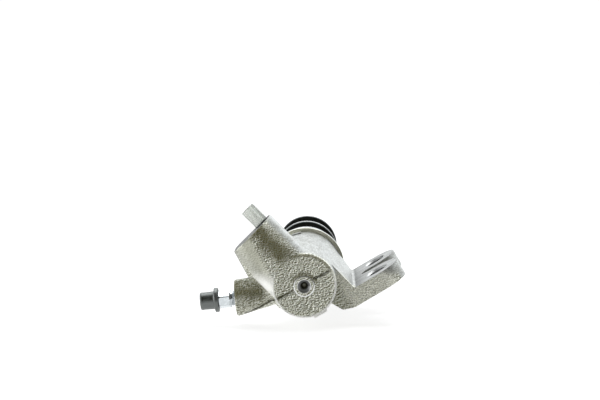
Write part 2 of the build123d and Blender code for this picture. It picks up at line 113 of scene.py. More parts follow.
# bleed boss, screw and cap
BLEED_LEAN = math.radians(5.8)
BLEED_OUT = Vector((-math.cos(BLEED_LEAN), 0, -math.sin(BLEED_LEAN)))
BLEED_FACE = Vector((-34.9, 11.0, -8.1))
BLEED_THREAD_R = 3.9
BLEED_THREAD_SHOW = 2.4
BLEED_SHANK_IN = 10.9
BLEED_TIP_R = 1.3
THREAD_PITCH = 1.25
THREAD_DEPTH = 0.3
THREAD_ROOT_SHARE = 0.08
THREAD_FLANK_SHARE = 0.8
HEX_ACROSS = 8.1
HEX_LEN = 5.6
HEX_LONGER = 0.7
HEX_CHAMFER = 0.35
WASHER_LEN = 0.7
WASHER_R = 4.6
HEX_TURN = math.radians(24.0)
HEX_CORNER_ROUND = 0.55
NIPPLE_NECK_R = 2.3
NIPPLE_HEAD_R = 3.1
NIPPLE_LEN = 8.6
SCREW_BORE_R = 1.0
CAP_BODY_R = 4.55
CAP_BODY_LEN = 7.3
CAP_FLANGE_R = 6.25
CAP_FLANGE_LEN = 2.7
CAP_WALL_END = 1.4
CAP_GAP = 0.1

# boot, rod and spring
BOOT_WALL = 1.3
BOOT_FOLDS = 3
BOOT_CRESTS = (18.0, 17.8)
BOOT_COLLAR_VALLEY = 13.2
BOOT_VALLEYS = (10.6, 10.0)
BOOT_FIRST_CREST_AT = 24.5
BOOT_PITCH = 27.0
BOOT_CREST_WIDTH = 4.0
BOOT_CREST_ROUND = 0.55
BOOT_COLLAR_PAST = 2.0
BOOT_CLEAR = 0.05
BOOT_NECK_LEN = 6.0
BOOT_NECK_R = 7.8
NECK_FROM = LIP_END + BOOT_FIRST_CREST_AT + BOOT_PITCH * (BOOT_FOLDS - 0.5)
ROD_R = 4.5
ROD_GROOVE_R = 3.5
ROD_GROOVE_LEN = 3.4
ROD_CLEAR = 0.15
SPRING_FROM = 7.25
SPRING_TO = 38.9
SPRING_BIG_R = 9.7
SPRING_SMALL_R = 5.6
SPRING_WIRE_R = 0.65
SPRING_TURNS = 7.0
SPRING_CLOSE_TURNS = 0.75
SPRING_CLOSE_LEAD = 0.55

# sides of round pieces, and steps of rounded lines
ROUND_SIDES = 96
BIG_ROUND_SIDES = 144
THREAD_SIDES = 240
WIRE_SIDES = 12
CORNER_STEPS = 6
HOLLOW_STEPS = 14
THREAD_STEPS = 10
SPRING_STEPS = 36
CHAMFER_STEPS = 4

# the floor, and the camera, which stands where the photograph was taken from
FLOOR_AT = -21.7
CAMERA_AT = (9.147, -641.476, 113.097)
CAMERA_TURN = (math.radians(83.8), 0.0, math.radians(1.0))
CAMERA_LENS = 78.0
CAMERA_SENSOR = 36.0

# the light table, the studio and its lights, in metres
FLOOR_HALF = 8.0
FLOOR_GLOW = 0.78
FLOOR_TONES = (colour(0.40, 0.40, 0.40), colour(0.42, 0.42, 0.42))
DIM_TOWARDS = (0.14, -0.84, 0.52)
DIM_TONE = colour(0.035, 0.032, 0.015)
SKY_LOW = colour(0.96, 0.98, 1.0)
SKY_HIGH = colour(1.37, 1.41, 1.43)
SKY_BEHIND = colour(2.1, 2.14, 2.16)
BACKDROP = 1.05
LIGHTS = {
    "top_light": {"at": (-0.03, 0.35, 0.90), "aim": (-0.03, 0.03, 0.0), "size": 0.8, "power": 5.0},
    "left_light": {
        "at": (-0.40, -0.05, 0.0), "aim": (-0.05, 0.02, -0.01), "size": 0.25, "power": 1.0},
}

# how far the cut faces' finish reaches past their solids
CUT_REACH = 0.12
SEATS_FROM = WEB_CORNER + 0.4
EAR_HOLE_REACH = 0.1
COLLAR_LIP = 0.25
COLLAR_REACH = 0.02
BORE_REACH = 0.3
BORE_CUT_FROM = BORE_FLOOR - 2.0
MOUTH_CUT_FROM = BARREL_LEN + 2.0
PORT_HOLE_REACH = 0.7
PORT_EDGE_REACH = 0.9
PORT_HOLE_FROM = BORE_R + 4

# painted shade on the casting, darker and browner: where it lies and the spans over which it fades
SHADE_WANDER = 1.5
PORT_SHADE_AT = 3.0
PORT_SHADE_WIDTH = (1.0, 7.5)
PORT_SHADE_RISE = (12.0, 19.0)
PORT_SHADE_DEEP = 8.0
BLEED_SHADE_BELOW = 3.5
BLEED_SHADE_WIDTH = (1.0, 7.0)
BLEED_SHADE_LEFT = (18.0, 23.0)
RING_SHADE_FROM = (4.9, 5.6)
RING_SHADE_TO = (6.2, 8.0)
RING_SHADE_HEIGHT = (0.5, 4.0)
RIM_SHADE_FROM = (14.4, 15.4)
RIM_SHADE_HEIGHT = (6.0, 10.0)
RIM_SHADE_SIDE = (3.0, 6.0)
END_SHADE_DEEP = 0.9
END_SHADE_SHARE = 0.75
PAINTED_SHADE_SHARE = 0.85

# smoother skin: the hose boss's left flank, with a painted highlight and painted shade at its
# edge, its right side, the barrel and the web behind its front
FLANK_EDGE = 16.0
FLANK_DRAFT = 0.115
FLANK_NARROWS = 0.2
FLANK_WIDTH = (0.5, 5.0)
FLANK_RISE = (5.0, 14.0)
FLANK_SHADE = (0.5, 6.0)
TOP_DEEP = (1.5, 5.0)
TOP_HEIGHT = (0.0, 8.0)
BACK_DEEP = (11.0, 17.0)
WEB_REACH = (12.0, 17.0)
WEB_DEEP = 14.0
RIGHT_SIDE = (6.0, 12.0)
RIGHT_RISE = (14.0, 18.0)
RIGHT_SHARE = 0.8

# the line of painted shade where the mould's halves met
SEAM_WANDER = 0.25
SEAM_WIDTH = (0.3, 0.8)
SEAM_FROM = (5.6, 6.6)
SEAM_TO = 15.0
SEAM_DEEP = 20.0

# the sand grain: an emboss of stretched noise, painted as a highlight on one side of each grain
# and shade on the other
GRAIN_STRETCH = (0.95, 1.1, 1.6)
GRAIN_STEP = (0.28, 0.0, -0.48)
SHADE_RELIEF = (0.0, 0.12)
GRAIN_SHADE_SHARE = 0.97
HIGHLIGHT_RELIEF = (-0.12, -0.01)
GRAIN_HIGHLIGHT_SHARE = 0.9
SMOOTH_GRAIN = 0.3
SMOOTH_BUMP = 0.22
CAST_BUMP = 1.3
CUT_BUMP = 0.02
EDGE_ROUND = 0.28
EDGE_TURN = (0.90, 0.995)
WEB_FRONT = (13.0, 17.0)
WEB_FRONT_END = (38.0, 44.0)
WEB_FRONT_DEEP = 12.5

# noises: scale per millimetre, detail, roughness and distortion, and the spans of their values
NOISE_SPAN = (0.3, 0.7)
TONE_SPAN = (0.35, 0.65)
GRAIN = (1.0, 2.0, 0.55, 0.5)
FINE = (2.6, 2.0, 0.6)
FINE_SHARE = 0.4
BLOTCH = (0.32, 2.0, 0.5)
BLOTCH_SHARE = 0.6
CLOUD = (0.09, 3.0, 0.6)
PATCHES = (0.6, 3.0, 0.55)
PATCH_STRETCH = (0.6, 0.22, 0.6)
PATCH_SPAN = (0.42, 0.6)
CUT_GRAIN = (5.0, 2.0)
MILLING = (0.45, 2.0, 0.6)
MILLING_STRETCH = 0.06
MILLING_SPAN = (0.35, 0.62)
SHADE_NOISE = (0.16, 2.0)
SEAM_NOISE = (0.35, 2.0)
SEAM_BREAKS = (0.22, 1.0)
SEAM_BREAK_SPAN = (0.3, 0.6)
SEAM_LEAST = 0.6
STEEL_TONE = (0.5, 3.0, 0.6)
STEEL_LINES = (4.0, 2.0, 0.5)
RUBBER_DUST = (0.35, 4.0, 0.65)
RUBBER_SKIN = (3.5, 2.0, 0.6)
PLUG_CLOUD = (0.4, 3.0, 0.6)
PLUG_SKIN = (2.5, 2.0, 0.5)
FLOOR_NOISE = (3.0, 2.0)

# gloss and metal
SKIN_ROUGH = (0.46, 0.32)
CUT_ROUGH = (0.30, 0.42)
PLUG_ROUGH = (0.16, 0.24)
SEAT_METALLIC = 0.7
STEEL_BUMP = 0.006
STEEL_EDGE_ROUND = 0.15
RUBBER_BUMP = 0.012
PLUG_BUMP = 0.01
FLANK_HIGHLIGHT_SHARE = 0.25
WEB_FRONT_LIGHT_SHARE = 0.75

# tones of the casting's skin
SKIN_TONES = (colour(0.53, 0.535, 0.425), colour(0.63, 0.635, 0.52))
SMOOTH_TONES = (colour(0.45, 0.46, 0.445), colour(0.35, 0.355, 0.335))
FLANK_HIGHLIGHT_TONE = colour(0.93, 0.94, 0.88)
SHADED_TONE = colour(0.34, 0.345, 0.315)
WEB_FRONT_LIGHT_TONE = colour(0.99, 0.99, 0.86)
GRAIN_HIGHLIGHT_TONE = colour(0.98, 0.99, 0.93)
GRAIN_SHADE_TONE = colour(0.10, 0.098, 0.045)
PAINTED_SHADE_TONE = colour(0.11, 0.102, 0.045)
LIP_STEP_HIGHLIGHT_TONE = colour(0.95, 0.95, 0.82)
SEAM_SHADE_TONE = colour(0.05, 0.048, 0.022)
RIM_HIGHLIGHT_TONE = colour(0.95, 0.95, 0.92)
EDGE_HIGHLIGHT_TONE = colour(0.86, 0.87, 0.87)

# tones of its cut metal, and the tints of its gloss
CUT_TONES = (colour(0.36, 0.365, 0.365), colour(0.46, 0.465, 0.465))
CENTRE_HOLE_SHADE_TONES = (colour(0.06, 0.06, 0.04), colour(0.7, 0.7, 0.6))
COLLAR_TONE = colour(0.82, 0.83, 0.82)
MILLED_TONES = (colour(0.20, 0.202, 0.198), colour(0.42, 0.425, 0.415))
PORT_FACE_TONE = colour(0.34, 0.34, 0.33)
HOLE_EDGE_SHADE_TONE = colour(0.01, 0.01, 0.01)
SKIN_TINT = colour(0.86, 0.87, 0.89)
SEAT_TINT = colour(0.6, 0.61, 0.61)
PORT_FACE_SHADE_TINT = colour(0.22, 0.22, 0.22)
HOLE_EDGE_SHADE_TINT = colour(0.02, 0.02, 0.02)

# tones of rubber and plastic
RUBBER_TINT = colour(0.94, 1.0, 0.98)
CREST_HIGHLIGHT_TONE = colour(0.11, 0.125, 0.125)
PLUG_TONES = (colour(0.93, 0.95, 0.92), colour(0.85, 0.87, 0.83))
PLUG_SIDE_SHADE_TONE = colour(0.36, 0.38, 0.34)
PLUG_SIDE_SHADE_AT = (2.3, 3.7)
PLUG_FOOT_SHADE_TONE = colour(0.01, 0.01, 0.01)


def place(point):
    """A point of the solids' own millimetres, in the shared frame's metres."""
    return (Vector(point) - ORIGIN) * MM


def add_camera():
    """The photograph's camera."""
    data = bpy.data.cameras.new("camera")
    data.lens = CAMERA_LENS
    data.sensor_width = CAMERA_SENSOR
    data.clip_end = 100.0
    camera = bpy.data.objects.new("camera", data)
    camera.location = place(CAMERA_AT)
    camera.rotation_euler = CAMERA_TURN
    bpy.context.scene.collection.objects.link(camera)
    bpy.context.scene.camera = camera


class Tree:
    """A material's or world's nodes, with short calls to add and join them."""

    def __init__(self, owner):
        owner.use_nodes = True
        self.nodes = owner.node_tree.nodes
        self.links = owner.node_tree.links
        self.nodes.clear()

    def put(self, socket, value):
        if isinstance(value, bpy.types.NodeSocket):
            self.links.new(value, socket)
        else:
            socket.default_value = value

    def add(self, kind, inputs=None, **settings):
        made = self.nodes.new(kind)
        for name, value in settings.items():
            setattr(made, name, value)
        for name, value in (inputs or {}).items():
            self.put(made.inputs[name], value)
        return made

    def maths(self, operation, a, b=0.0, clamp=False):
        made = self.add("ShaderNodeMath", {0: a, 1: b}, operation=operation, use_clamp=clamp)
        return made.outputs[0]

    def vector(self, operation, a, b=(0, 0, 0), scale=None):
        made = self.add("ShaderNodeVectorMath", {0: a, 1: b}, operation=operation)
        if scale is not None:
            made.inputs["Scale"].default_value = scale
        return made.outputs["Value" if operation == "DOT_PRODUCT" else "Vector"]

    def fade(self, value, low, high, to_low=0.0, to_high=1.0):
        """A value spread from low..high to to_low..to_high and held at the ends."""
        inputs = {"Value": value, "From Min": low, "From Max": high}
        inputs.update({"To Min": to_low, "To Max": to_high})
        made = self.add("ShaderNodeMapRange", inputs, interpolation_type="SMOOTHSTEP")
        return made.outputs[0]

    def inside(self, value, limit, soft=0.05):
        """1 where the value is under the limit, 0 above."""
        return self.fade(value, limit - soft, limit + soft, 1.0, 0.0)

    def above(self, value, limit, soft=0.05):
        """1 where the value is over the limit, 0 under."""
        return self.fade(value, limit - soft, limit + soft)

    def both(self, *masks):
        """The product of masks or shares."""
        result = masks[0]
        for mask in masks[1:]:
            result = self.maths("MULTIPLY", result, mask)
        return result

    def either(self, *masks):
        """The strongest of several masks."""
        result = masks[0]
        for mask in masks[1:]:
            result = self.maths("MAXIMUM", result, mask)
        return result

    def along(self, point, way, start=BORE_START):
        """How far a point is from a start along a direction."""
        away = self.vector("SUBTRACT", point, tuple(start))
        return self.vector("DOT_PRODUCT", away, tuple(way))

    def off_axis(self, point, start, way):
        """How far a point is from the line through a start, and how far along that line."""
        away = self.vector("SUBTRACT", point, tuple(start))
        along = self.vector("DOT_PRODUCT", away, tuple(way))
        square = self.vector("DOT_PRODUCT", away, away)
        across = self.maths("SUBTRACT", square, self.maths("MULTIPLY", along, along))
        return self.maths("SQRT", across), along

    def mix(self, factor, a, b):
        made = self.add("ShaderNodeMix", data_type="RGBA")
        self.put(made.inputs["Factor"], factor)
        self.put(made.inputs[6], a)
        self.put(made.inputs[7], b)
        return made.outputs[2]

    def noise(self, vector, scale, detail=2.0, roughness=0.5, distortion=0.0):
        inputs = {"Vector": vector, "Scale": scale, "Detail": detail}
        inputs.update({"Roughness": roughness, "Distortion": distortion})
        return self.add("ShaderNodeTexNoise", inputs).outputs["Fac"]

    def soft_normal(self, radius):
        """The surface direction with its edges rounded."""
        made = self.add("ShaderNodeBevel", {"Radius": radius * MM}, samples=4)
        return made.outputs["Normal"]

    def bump(self, height, distance, strength=1.0, normal=None):
        inputs = {"Height": height, "Distance": distance * MM, "Strength": strength}
        made = self.add("ShaderNodeBump", inputs)
        if normal is not None:
            self.put(made.inputs["Normal"], normal)
        return made.outputs["Normal"]

    def millimetres(self):
        """The point on the piece in the solids' own millimetres."""
        own = self.add("ShaderNodeTexCoord").outputs["Object"]
        scaled = self.vector("SCALE", own, scale=1 / MM)
        return self.vector("ADD", scaled, tuple(ORIGIN))

    def shader(self, **values):
        """The surface shader, joined to the output."""
        made = self.nodes.new("ShaderNodeBsdfPrincipled")
        for name, value in values.items():
            self.put(made.inputs[name.replace("_", " ")], value)
        output = self.nodes.new("ShaderNodeOutputMaterial")
        self.links.new(made.outputs[0], output.inputs[0])
        return made


def machined_mask(tree, point):
    """Masks of all cut faces, ear seats, the port face, its hole's edge, where shade is painted
    black, and the collar.
    """
    seat = PLATE_ALONG * EAR_REACH + PLATE_UP * PLATE_TOP + BORE_WAY * EAR_FIRST_Y
    over_seat = tree.along(point, PLATE_UP, seat)
    outwards = tree.along(point, PLATE_ALONG)
    near_seat = tree.both(tree.above(over_seat, -CUT_REACH), tree.inside(over_seat, CUT_REACH))
    seats = tree.both(near_seat, tree.above(outwards, SEATS_FROM))
    holes = []
    for k in range(2):
        across = tree.off_axis(point, seat + BORE_WAY * EAR_SPACING * k, PLATE_UP)[0]
        wall = tree.inside(across, EAR_HOLE_R + EAR_CHAMFER + EAR_HOLE_REACH)
        holes.append(tree.both(wall, tree.above(outwards, WEB_CORNER)))
    across, deep = tree.off_axis(point, BORE_START, BORE_WAY)
    centre = tree.both(tree.inside(across, CENTRE_CONE_R), tree.inside(deep, CENTRE_DEPTH))
    collar_edge = tree.both(
        tree.above(across, COLLAR_TOP_R), tree.inside(across, COLLAR_EDGE_R))
    collar_lip = tree.inside(across, CENTRE_CONE_R + COLLAR_LIP)
    raised = tree.inside(deep, COLLAR_EDGE + COLLAR_REACH, COLLAR_REACH)
    collar = tree.both(tree.either(collar_edge, collar_lip), raised)
    bore = tree.both(
        tree.inside(across, RING_GROOVE_R + BORE_REACH), tree.above(deep, BORE_CUT_FROM))
    mouth = tree.above(deep, MOUTH_CUT_FROM)
    port_foot = PORT_SIDE * PORT_OFFSET + BORE_WAY * PORT_Y
    port_across, port_along = tree.off_axis(point, port_foot, PORT_OUT)
    port_face = tree.above(port_along, PORT_FACE_AT - CUT_REACH)
    port_hole = tree.both(
        tree.inside(port_across, PORT_HOLE_R + PORT_HOLE_REACH),
        tree.above(port_along, PORT_HOLE_FROM))
    hole_edge_shade = tree.both(port_face, tree.inside(port_across, PORT_HOLE_R + PORT_EDGE_REACH))
    bleed_face = tree.above(tree.along(point, BLEED_OUT, BLEED_FACE), -CUT_REACH)
    cut = tree.either(seats, *holes, centre, collar, bore, mouth, port_face, port_hole, bleed_face)
    return cut, seats, port_face, hole_edge_shade, collar


def painted_shade_mask(tree, point):
    """Where shade is painted into the skin, darker and browner: on the hose boss's front, under it
    on the bleed boss, and above the closed end's centre and inside its top rim.
    """
    side = tree.along(point, PORT_SIDE)
    outwards = tree.along(point, PORT_OUT)
    height = tree.along(point, UP)
    left = tree.along(point, LEFT)
    across, deep = tree.off_axis(point, BORE_START, BORE_WAY)
    wander = tree.fade(tree.noise(point, *SHADE_NOISE), *NOISE_SPAN, -SHADE_WANDER, SHADE_WANDER)
    from_port = tree.maths("ADD", tree.maths("SUBTRACT", side, PORT_SHADE_AT), wander)
    port = tree.both(
        tree.fade(tree.maths("ABSOLUTE", from_port), *PORT_SHADE_WIDTH, 1.0, 0.0),
        tree.fade(outwards, *PORT_SHADE_RISE), tree.inside(deep, PORT_SHADE_DEEP, 3.0))
    from_bleed = tree.maths("ADD", tree.maths("ADD", height, BLEED_SHADE_BELOW), wander)
    bleed = tree.both(
        tree.fade(tree.maths("ABSOLUTE", from_bleed), *BLEED_SHADE_WIDTH, 1.0, 0.2),
        tree.fade(left, *BLEED_SHADE_LEFT))
    ring = tree.both(
        tree.fade(across, *RING_SHADE_FROM), tree.fade(across, *RING_SHADE_TO, 1.0, 0.0),
        tree.fade(height, *RING_SHADE_HEIGHT))
    rim = tree.both(
        tree.fade(across, *RIM_SHADE_FROM), tree.fade(height, *RIM_SHADE_HEIGHT),
        tree.fade(side, *RIM_SHADE_SIDE))
    closed_end = tree.both(tree.either(ring, rim), tree.inside(deep, END_SHADE_DEEP))
    return tree.either(port, bleed, tree.both(closed_end, END_SHADE_SHARE))


def smooth_mask(tree, point):
    """Masks of the hose boss's left flank, where a highlight is painted, of its edge, where shade
    is painted, and of the smoother skin.
    """
    side = tree.along(point, PORT_SIDE)
    outwards = tree.along(point, PORT_OUT)
    deep = tree.along(point, BORE_WAY)
    height = tree.along(point, UP)
    reach = tree.along(point, PLATE_ALONG)
    draft = tree.both(outwards, FLANK_DRAFT)
    edge = tree.maths("ADD", tree.maths("SUBTRACT", side, draft), FLANK_EDGE)
    width = tree.maths("SUBTRACT", edge, tree.both(outwards, FLANK_NARROWS))
    flank = tree.both(
        tree.fade(width, *FLANK_WIDTH, 1.0, 0.0), tree.above(edge, -1.2, 0.6),
        tree.fade(outwards, *FLANK_RISE))
    shaded = tree.both(flank, tree.fade(edge, *FLANK_SHADE, 0.75, 0.0))
    top = tree.both(tree.fade(deep, *TOP_DEEP), tree.fade(height, *TOP_HEIGHT))
    web = tree.both(tree.fade(reach, *WEB_REACH), tree.above(deep, WEB_DEEP, 2.0))
    back = tree.fade(deep, *BACK_DEEP)
    right = tree.both(tree.fade(side, *RIGHT_SIDE), tree.fade(outwards, *RIGHT_RISE))
    smooth = tree.either(top, web, back, tree.both(right, RIGHT_SHARE))
    return flank, shaded, smooth


def seam_mask(tree, point):
    """Where the mould's halves met: a line of painted shade on the closed end and along the bleed
    boss.
    """
    off = tree.along(point, SEAM_UP)
    along = tree.along(point, SEAM_ALONG)
    across, deep = tree.off_axis(point, BORE_START, BORE_WAY)
    least, most = -SEAM_WANDER - SEAM_OFF, SEAM_WANDER - SEAM_OFF
    wander = tree.fade(tree.noise(point, *SEAM_NOISE), *NOISE_SPAN, least, most)
    width = tree.maths("ABSOLUTE", tree.maths("ADD", off, wander))
    strength = tree.fade(tree.noise(point, *SEAM_BREAKS), *SEAM_BREAK_SPAN, SEAM_LEAST, 1.0)
    return tree.both(
        tree.fade(width, *SEAM_WIDTH, 1.0, 0.0), strength, tree.fade(across, *SEAM_FROM),
        tree.inside(along, SEAM_TO, 0.8), tree.inside(deep, SEAM_DEEP))


def cut_metal(tree, point, fine, seats, port_face, hole_edge_shade, collar):
    """The tone of the casting's cut faces."""
    across, deep = tree.off_axis(point, BORE_START, BORE_WAY)
    outwards = tree.along(point, PLATE_ALONG)
    metal = tree.mix(tree.fade(fine, *NOISE_SPAN), *CUT_TONES)
    centre_hole = tree.both(
        tree.inside(across, CENTRE_HOLE_R + 0.05), tree.inside(deep, CENTRE_DEPTH))
    # painted shade down the turning centre's hole, darkest at its middle
    metal = tree.mix(centre_hole, metal, tree.mix(tree.inside(across, 0.8, 0.3), *CENTRE_HOLE_SHADE_TONES))
    metal = tree.mix(collar, metal, COLLAR_TONE)
    stretched = tree.both(outwards, MILLING_STRETCH)
    milled = tree.add("ShaderNodeCombineXYZ", {0: deep, 1: stretched}).outputs[0]
    streaks = tree.fade(tree.noise(milled, *MILLING), *MILLING_SPAN)
    metal = tree.mix(seats, metal, tree.mix(streaks, *MILLED_TONES))
    metal = tree.mix(port_face, metal, PORT_FACE_TONE)
    # the port hole's edge painted black as shade in its mouth
    return tree.mix(hole_edge_shade, metal, HOLE_EDGE_SHADE_TONE)


def cast_skin(tree, point, relief, painted_shade, flank, shaded, top):
    """The tone of the casting's sand-grained skin."""
    across, deep = tree.off_axis(point, BORE_START, BORE_WAY)
    outwards = tree.along(point, PLATE_ALONG)
    calm = tree.fade(tree.either(flank, top), 0.0, 1.0, 1.0, SMOOTH_GRAIN)
    web = tree.both(
        tree.fade(outwards, *WEB_FRONT), tree.fade(outwards, *WEB_FRONT_END, 1.0, 0.0),
        tree.inside(deep, WEB_FRONT_DEEP, 1.5))
    skin = tree.mix(tree.fade(tree.noise(point, *CLOUD), *TONE_SPAN), *SKIN_TONES)
    # a painted highlight on the hose boss's left flank, and painted shade at its edge
    skin = tree.mix(tree.both(flank, FLANK_HIGHLIGHT_SHARE), skin, FLANK_HIGHLIGHT_TONE)
    skin = tree.mix(shaded, skin, SHADED_TONE)
    # painted light on the web's front, lifting the shade it lies in behind the closed end
    skin = tree.mix(tree.both(web, WEB_FRONT_LIGHT_SHARE), skin, WEB_FRONT_LIGHT_TONE)
    stretched = tree.vector("MULTIPLY", point, PATCH_STRETCH)
    patches = tree.fade(tree.noise(stretched, *PATCHES), *PATCH_SPAN)
    skin = tree.mix(top, skin, tree.mix(patches, *SMOOTH_TONES))
    # painted highlight and painted shade on the grain's two sides, from the emboss
    grain_highlights = tree.both(tree.fade(relief, *HIGHLIGHT_RELIEF, GRAIN_HIGHLIGHT_SHARE, 0.0), calm)
    skin = tree.mix(grain_highlights, skin, GRAIN_HIGHLIGHT_TONE)
    grain_shade = tree.both(
        tree.fade(relief, *SHADE_RELIEF, 0.0, GRAIN_SHADE_SHARE), calm, tree.fade(web, 0.0, 1.0, 1.0, 0.6))
    skin = tree.mix(grain_shade, skin, GRAIN_SHADE_TONE)
    # darker, browner painted shade on the hose boss's front, the bleed boss and the closed end
    skin = tree.mix(tree.both(painted_shade, PAINTED_SHADE_SHARE), skin, PAINTED_SHADE_TONE)
    # a painted highlight along the lip band's front step
    lip_step_highlight = tree.both(
        tree.above(deep, BARREL_LEN - 0.3), tree.inside(deep, BARREL_LEN + 0.4, 0.3),
        tree.above(across, LIP_CORE_R))
    skin = tree.mix(lip_step_highlight, skin, LIP_STEP_HIGHLIGHT_TONE)
    # a line of painted shade along the mould's parting line
    skin = tree.mix(seam_mask(tree, point), skin, SEAM_SHADE_TONE)
    # a painted highlight on the closed end's rim, stronger towards the bottom
    low = tree.fade(tree.along(point, -UP), -9.0, 0.0)
    rim = tree.both(tree.above(across, RIM_R, 0.3), tree.inside(deep, 1.6, 0.3), low)
    return tree.mix(tree.both(rim, RIM_HIGHLIGHT_SHARE), skin, RIM_HIGHLIGHT_TONE)


def cast_material():
    """Sand-grained cast aluminium with cut faces, with painted highlight and shade on its grain
    and a painted highlight, partly edge wear, along its edges.
    """
    material = bpy.data.materials.new("cast_aluminium")
    tree = Tree(material)
    point = tree.millimetres()
    cut, seats, port_face, hole_edge_shade, collar = machined_mask(tree, point)
    flank, shaded, top = smooth_mask(tree, point)
    painted_shade = painted_shade_mask(tree, point)

    squeezed = tree.vector("MULTIPLY", point, GRAIN_STRETCH)
    grain = tree.noise(squeezed, *GRAIN)
    lower = tree.noise(tree.vector("ADD", squeezed, GRAIN_STEP), *GRAIN)
    relief = tree.maths("SUBTRACT", grain, lower)
    fine = tree.noise(point, *FINE)
    height = tree.maths("ADD", grain, tree.both(fine, FINE_SHARE))
    height = tree.maths("ADD", height, tree.both(tree.noise(point, *BLOTCH), BLOTCH_SHARE))

    own = tree.add("ShaderNodeNewGeometry").outputs["Normal"]
    soft = tree.soft_normal(EDGE_ROUND)
    edge = tree.fade(tree.vector("DOT_PRODUCT", own, soft), *EDGE_TURN, 1.0, 0.0)
    skin = cast_skin(tree, point, relief, painted_shade, flank, shaded, top)
    metal = cut_metal(tree, point, fine, seats, port_face, hole_edge_shade, collar)
    base = tree.mix(cut, skin, metal)
    # a painted highlight along the rounded edges, partly edge wear, left off where shade is
    # painted
    base = tree.mix(tree.both(edge, tree.fade(painted_shade, 0.0, 0.6, 0.5, 0.0)), base, EDGE_HIGHLIGHT_TONE)

    rough_skin = tree.fade(grain, *NOISE_SPAN, *SKIN_ROUGH)
    rough = tree.mix(cut, rough_skin, tree.fade(fine, *NOISE_SPAN, *CUT_ROUGH))
    uncut = tree.maths("SUBTRACT", 1.0, cut, clamp=True)
    grainy = tree.both(uncut, tree.fade(tree.either(flank, top), 0.0, 1.0, 1.0, SMOOTH_BUMP))
    normal = tree.bump(height, CAST_BUMP, grainy, soft)
    normal = tree.bump(tree.noise(point, *CUT_GRAIN), CUT_BUMP, cut, normal)
    metallic = tree.fade(seats, 0.0, 1.0, 1.0, SEAT_METALLIC)
    made = tree.shader(Base_Color=base, Metallic=metallic, Roughness=rough, Normal=normal)
    tint = tree.mix(seats, SKIN_TINT, SEAT_TINT)
    # the port face's dark gloss tint is painted shade, so its edge-on strip reads as a dark line
    tint = tree.mix(port_face, tint, PORT_FACE_SHADE_TINT)
    # a black gloss tint at the port hole's edge keeps its painted shade dark
    tree.put(made.inputs["Specular Tint"], tree.mix(hole_edge_shade, tint, HOLE_EDGE_SHADE_TINT))
    return material


def metal_material(name, light, dark, rough):
    """Plated or turned steel, with fine tool lines and slight tone changes."""
    material = bpy.data.materials.new(name)
    tree = Tree(material)
    point = tree.millimetres()
    lines = tree.noise(point, *STEEL_LINES)
    base = tree.mix(tree.fade(tree.noise(point, *STEEL_TONE), *TONE_SPAN), light, dark)
    roughness = tree.fade(lines, *NOISE_SPAN, rough * 0.8, rough * 1.25)
    normal = tree.bump(lines, STEEL_BUMP, 1.0, tree.soft_normal(STEEL_EDGE_ROUND))
    tree.shader(Base_Color=base, Metallic=1.0, Roughness=roughness, Normal=normal)
    return material


def rubber_material(name, light, dark, rough, ior=1.5, crest_highlights=False):
    """Moulded rubber with a fine skin and faint dusty patches, on the boot with a painted
    highlight along its crests.
    """
    material = bpy.data.materials.new(name)
    tree = Tree(material)
    point = tree.millimetres()
    dust = tree.noise(point, *RUBBER_DUST)
    normal = tree.bump(tree.noise(point, *RUBBER_SKIN), RUBBER_BUMP)
    base = tree.mix(tree.fade(dust, 0.4, 0.7), dark, light)
    if crest_highlights:
        across, along = tree.off_axis(point, BORE_START, BORE_WAY)
        crest = tree.above(across, BOOT_CRESTS[1] - 0.3, 0.2)
        # a painted highlight along the boot's crests
        base = tree.mix(tree.both(crest, tree.above(along, MOUTH_END + 6)), base, CREST_HIGHLIGHT_TONE)
    roughness = tree.fade(dust, *NOISE_SPAN, rough * 0.85, rough * 1.25)
    made = tree.shader(Base_Color=base, Roughness=roughness, Normal=normal)
    made.inputs["IOR"].default_value = ior
    made.inputs["Specular Tint"].default_value = RUBBER_TINT
    return material


def plug_material():
    """Milky, slightly see-through moulded plastic, with painted shade on its sides and at its
    foot.
    """
    material = bpy.data.materials.new("plug_plastic")
    tree = Tree(material)
    point = tree.millimetres()
    skin = tree.noise(point, *PLUG_SKIN)
    base = tree.mix(tree.fade(tree.noise(point, *PLUG_CLOUD), *TONE_SPAN), *PLUG_TONES)
    side = tree.along(point, PORT_SIDE, PORT_SIDE * PORT_OFFSET)
    out = tree.along(point, PORT_OUT)
    # painted shade on the plug's two sides, away from its middle
    side_shade = tree.fade(tree.maths("ABSOLUTE", side), *PLUG_SIDE_SHADE_AT)
    base = tree.mix(side_shade, base, PLUG_SIDE_SHADE_TONE)
    # a ring of painted shade at the plug's foot, where it enters the port
    foot_shade = tree.both(
        tree.above(out, PORT_FACE_AT - 0.2, 0.1), tree.inside(out, PORT_FACE_AT + 0.4, 0.15))
    base = tree.mix(foot_shade, base, PLUG_FOOT_SHADE_TONE)
    roughness = tree.fade(skin, *NOISE_SPAN, *PLUG_ROUGH)
    normal = tree.bump(skin, PLUG_BUMP)
    made = tree.shader(Base_Color=base, Roughness=roughness, Normal=normal)
    made.inputs["Transmission Weight"].default_value = 0.75
    made.inputs["IOR"].default_value = 1.5
    made.inputs["Specular IOR Level"].default_value = 0.3
    return material


def turn_frame(direction):
    """Two directions square to a turning axis: the bore's own, and the one square to both."""
    axis = Vector(direction).normalized()
    side = -LEFT if abs(axis.y) > 0.9 else BORE_WAY
    side = (side - axis * side.dot(axis)).normalized()
    return axis, side, axis.cross(side)


